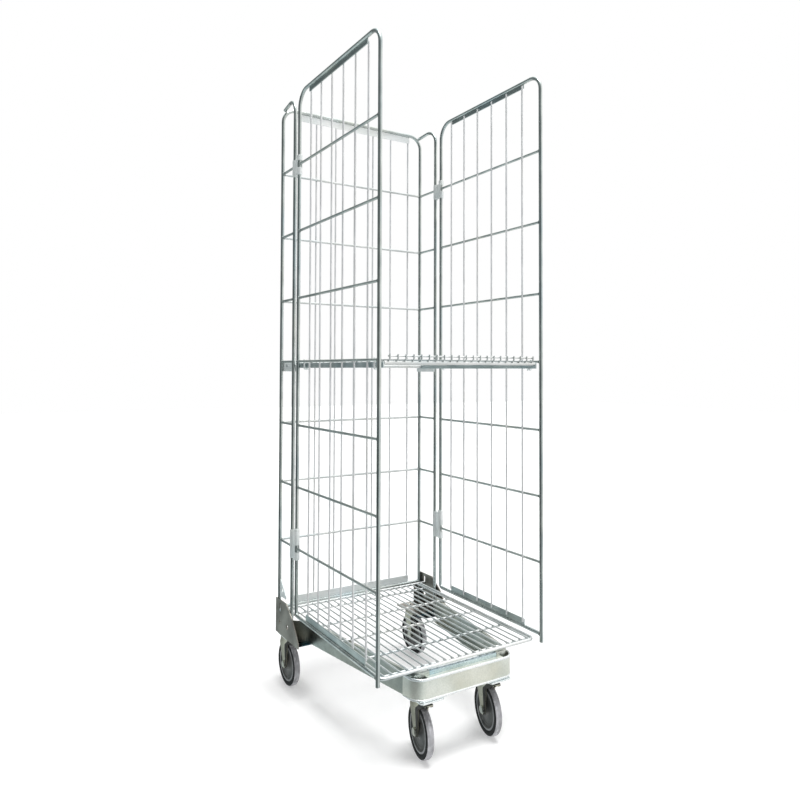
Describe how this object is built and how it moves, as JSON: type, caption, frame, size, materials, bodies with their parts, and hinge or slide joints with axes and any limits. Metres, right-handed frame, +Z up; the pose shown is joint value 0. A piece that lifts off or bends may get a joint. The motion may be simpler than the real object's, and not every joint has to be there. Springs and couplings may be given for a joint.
{
  "type": "roll cage container",
  "caption": "Tall wire roll cage with open front, hinged mesh sides, fold-up deck and shelf, tapered nesting base and swivel casters.",
  "frame": {"origin": "on the floor at the centre of the bounding box", "axes": "+X to the right seen from the open front, +Y towards the back panel, +Z up"},
  "size_m": [0.502, 0.6333, 1.696],
  "materials": {
    "zinc_rod": "bright zinc plated rod",
    "zinc_wire": "bright zinc plated wire",
    "zinc_strip": "bright zinc plated flat strip",
    "zinc_fittings": "bright zinc plated, welded on",
    "pressed_base": "zinc plated pressed sheet",
    "deck_zinc": "pale zinc plated wire",
    "shelf_zinc": "zinc plated wire",
    "caster_steel": "zinc plated pressed steel, warm passivated tint",
    "fastener_steel": "zinc plated fasteners",
    "wheel_core": "moulded dark grey plastic",
    "tyre": "smooth solid rubber with a lightly scuffed tread"
  },
  "bodies": {
    "frame": {"back_outline": "zinc_rod", "back_verticals": "zinc_wire", "back_horizontals": "zinc_wire", "back_strips": "zinc_strip", "hinge_clips": "zinc_fittings", "shelf_pivot_plates": "zinc_fittings", "lock_tab": "zinc_fittings", "front_rail": "pressed_base", "front_bumper": "pressed_base", "front_corner_plates": "pressed_base", "wing_rod_left": "zinc_rod", "wing_rod_right": "zinc_rod", "wing_wires_left": "zinc_wire", "wing_wires_right": "zinc_wire", "base_arm_left": "pressed_base", "base_arm_right": "pressed_base", "foot_bracket_left": "pressed_base", "foot_bracket_right": "pressed_base", "caster_plates": "caster_steel", "caster_kingpins": "fastener_steel", "swivel_balls": "fastener_steel", "caster_fasteners": "fastener_steel"},
    "panel_left": {"panel_outline_left": "zinc_rod", "panel_verticals_left": "zinc_wire", "panel_horizontals_left": "zinc_wire", "panel_strips_left": "zinc_strip", "shelf_hooks_left": "zinc_fittings", "hinge_collars_left": "zinc_fittings"},
    "panel_right": {"panel_outline_right": "zinc_rod", "panel_verticals_right": "zinc_wire", "panel_horizontals_right": "zinc_wire", "panel_strips_right": "zinc_strip", "shelf_hooks_right": "zinc_fittings", "hinge_collars_right": "zinc_fittings"},
    "deck": {"deck_frame": "deck_zinc", "deck_cross_rods": "deck_zinc", "deck_wires": "deck_zinc"},
    "shelf": {"shelf_rails": "shelf_zinc", "shelf_rods": "shelf_zinc", "shelf_wires": "shelf_zinc"},
    "caster_front_left": {"fork_front_left": "caster_steel", "axle_front_left": "fastener_steel"},
    "roller_front_left": {"wheel_front_left": "wheel_core", "tyre_front_left": "tyre"},
    "caster_front_right": {"fork_front_right": "caster_steel", "axle_front_right": "fastener_steel"},
    "roller_front_right": {"wheel_front_right": "wheel_core", "tyre_front_right": "tyre"},
    "caster_rear_left": {"fork_rear_left": "caster_steel", "axle_rear_left": "fastener_steel"},
    "roller_rear_left": {"wheel_rear_left": "wheel_core", "tyre_rear_left": "tyre"},
    "caster_rear_right": {"fork_rear_right": "caster_steel", "axle_rear_right": "fastener_steel"},
    "roller_rear_right": {"wheel_rear_right": "wheel_core", "tyre_rear_right": "tyre"}
  },
  "joints": [
    {"name": "panel_left_swing", "type": "hinge", "parent": "frame", "child": "panel_left", "pos_m": [-0.243, 0.1451, 0.95], "axis": [0, 0, -1], "range_deg": [0, 100]},
    {"name": "panel_right_swing", "type": "hinge", "parent": "frame", "child": "panel_right", "pos_m": [0.243, 0.1451, 0.95], "axis": [0, 0, 1], "range_deg": [0, 100]},
    {"name": "deck_fold", "type": "hinge", "parent": "frame", "child": "deck", "pos_m": [0, 0.2421, 0.2233], "axis": [-1, 0, 0], "range_deg": [0, 90]},
    {"name": "shelf_fold", "type": "hinge", "parent": "frame", "child": "shelf", "pos_m": [0, 0.2361, 0.924], "axis": [-1, 0, 0], "range_deg": [0, 90]},
    {"name": "swivel_front_left", "type": "hinge", "parent": "frame", "child": "caster_front_left", "pos_m": [-0.101, -0.2789, 0.145], "axis": [0, 0, 1], "continuous": true},
    {"name": "roll_front_left", "type": "hinge", "parent": "caster_front_left", "child": "roller_front_left", "pos_m": [-0.09623, -0.25436, 0.0625], "axis": [0.9816, -0.1908, 0], "continuous": true},
    {"name": "swivel_front_right", "type": "hinge", "parent": "frame", "child": "caster_front_right", "pos_m": [0.101, -0.2789, 0.145], "axis": [0, 0, 1], "continuous": true},
    {"name": "roll_front_right", "type": "hinge", "parent": "caster_front_right", "child": "roller_front_right", "pos_m": [0.10641, -0.25449, 0.0625], "axis": [0.9763, -0.2164, 0], "continuous": true},
    {"name": "swivel_rear_left", "type": "hinge", "parent": "frame", "child": "caster_rear_left", "pos_m": [-0.217, 0.2291, 0.145], "axis": [0, 0, 1], "continuous": true},
    {"name": "roll_rear_left", "type": "hinge", "parent": "caster_rear_left", "child": "roller_rear_left", "pos_m": [-0.217, 0.2541, 0.0625], "axis": [1, 0, 0], "continuous": true},
    {"name": "swivel_rear_right", "type": "hinge", "parent": "frame", "child": "caster_rear_right", "pos_m": [0.217, 0.2291, 0.145], "axis": [0, 0, 1], "continuous": true},
    {"name": "roll_rear_right", "type": "hinge", "parent": "caster_rear_right", "child": "roller_rear_right", "pos_m": [0.217, 0.2541, 0.0625], "axis": [1, 0, 0], "continuous": true}
  ]
}
